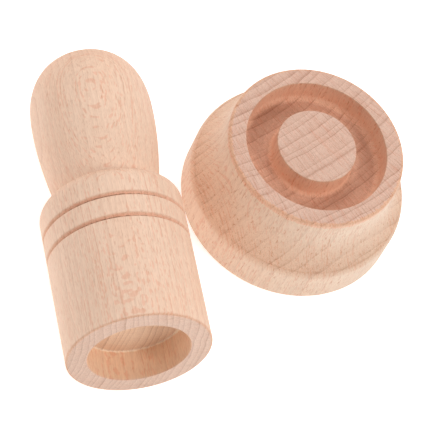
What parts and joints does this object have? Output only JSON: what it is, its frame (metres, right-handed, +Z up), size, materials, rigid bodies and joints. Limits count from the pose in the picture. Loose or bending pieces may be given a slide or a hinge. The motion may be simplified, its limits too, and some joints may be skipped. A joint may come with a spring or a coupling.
{
  "type": "seedling paper-pot press",
  "caption": "Turned wooden press for paper seedling pots: a flared base with a ring groove and centre post, and a loose cylindrical former with a knob, lying beside it.",
  "frame": {"origin": "centre of the base's foot, on the surface that both pieces rest on", "axes": "+Z up along the base's axis; the former lies beside the base at -X with its axis over the Y direction and its open end towards -Y"},
  "size_m": [0.1395, 0.1222, 0.0542],
  "materials": {
    "beech_base": "raw sanded beech, matt",
    "beech_former": "raw sanded beech, matt"
  },
  "bodies": {
    "base": {"base": "beech_base"},
    "former": {"former": "beech_former"}
  },
  "joints": [
    {"name": "former_lift", "type": "slide", "parent": "base", "child": "former", "axis": [0, 0, 1], "range_m": [0, 0.06]}
  ]
}
